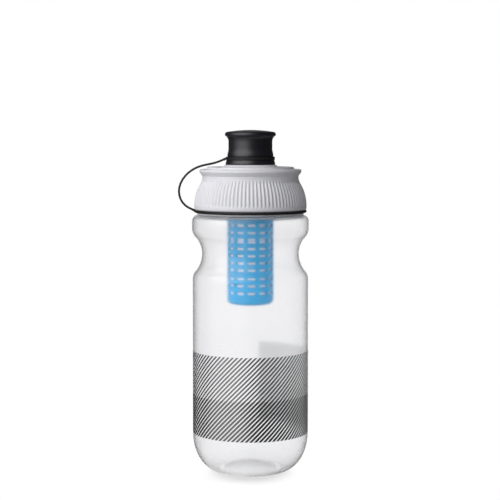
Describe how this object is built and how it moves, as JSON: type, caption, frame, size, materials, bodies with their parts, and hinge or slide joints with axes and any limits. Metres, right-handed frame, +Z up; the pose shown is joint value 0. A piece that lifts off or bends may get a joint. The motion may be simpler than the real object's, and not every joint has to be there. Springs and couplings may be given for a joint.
{
  "type": "bicycle water bottle with filter",
  "caption": "Clear squeeze bottle for a bicycle bottle cage, with a ribbed screw cap, push-pull nozzle under a tethered cover, and a filter cartridge hanging inside.",
  "frame": {"origin": "on the bottle's axis, in the plane that the foot ring stands on", "axes": "+Z up along the bottle's axis, from the base to the nozzle; the tether loops out towards -X"},
  "size_m": [0.0826, 0.0738, 0.2161],
  "materials": {
    "clear_body": "hazy, blow-moulded",
    "cap_grey": "satin",
    "stem_grey": "satin",
    "white_seal": "soft matte",
    "dark_seal": "soft matte",
    "soft_sleeve": "soft matte",
    "cover_black": "satin",
    "tether_black": "satin",
    "filter_blue": "glossy",
    "fleece_white": "felted",
    "carbon": "porous"
  },
  "bodies": {
    "bottle": {"bottle_body": "clear_body"},
    "gasket": {"cap_gasket": "white_seal"},
    "cap": {"cap_shell": "cap_grey", "spout_stem": "stem_grey", "stem_seal": "dark_seal"},
    "nozzle": {"nozzle": "stem_grey", "bite_sleeve": "soft_sleeve"},
    "filter": {"filter_collar": "filter_blue", "filter_o_ring": "dark_seal", "filter_cage": "filter_blue", "filter_fleece": "fleece_white", "filter_core": "carbon", "filter_end_cap": "filter_blue"},
    "tether": {"neck_loop": "tether_black", "tether_cord": "tether_black"},
    "cover": {"mud_cover": "cover_black", "cover_loop": "tether_black"}
  },
  "joints": [
    {"name": "cap_rise", "type": "slide", "parent": "bottle", "child": "gasket", "axis": [0, 0, 1], "range_m": [0, 0.0075]},
    {"name": "cap_turn", "type": "hinge", "parent": "gasket", "child": "cap", "pos_m": [0, 0, 0.1886], "axis": [0, 0, 1], "range_deg": [0, 540]},
    {"name": "nozzle_pull", "type": "slide", "parent": "cap", "child": "nozzle", "axis": [0, 0, 1], "range_m": [0, 0.005]},
    {"name": "filter_release", "type": "slide", "parent": "cap", "child": "filter", "axis": [0, 0, -1], "range_m": [0, 0.014]},
    {"name": "tether_swivel", "type": "hinge", "parent": "cap", "child": "tether", "pos_m": [0, 0, 0.1651], "axis": [0, 0, 1], "continuous": true},
    {"name": "cover_pull", "type": "slide", "parent": "tether", "child": "cover", "axis": [0, 0, 1], "range_m": [0, 0.015], "deforming": ["tether_cord"]}
  ],
  "couplings": [
    {"joint": "cap_rise", "follows": "cap_turn", "m_per_rad": 0.00079577}
  ]
}
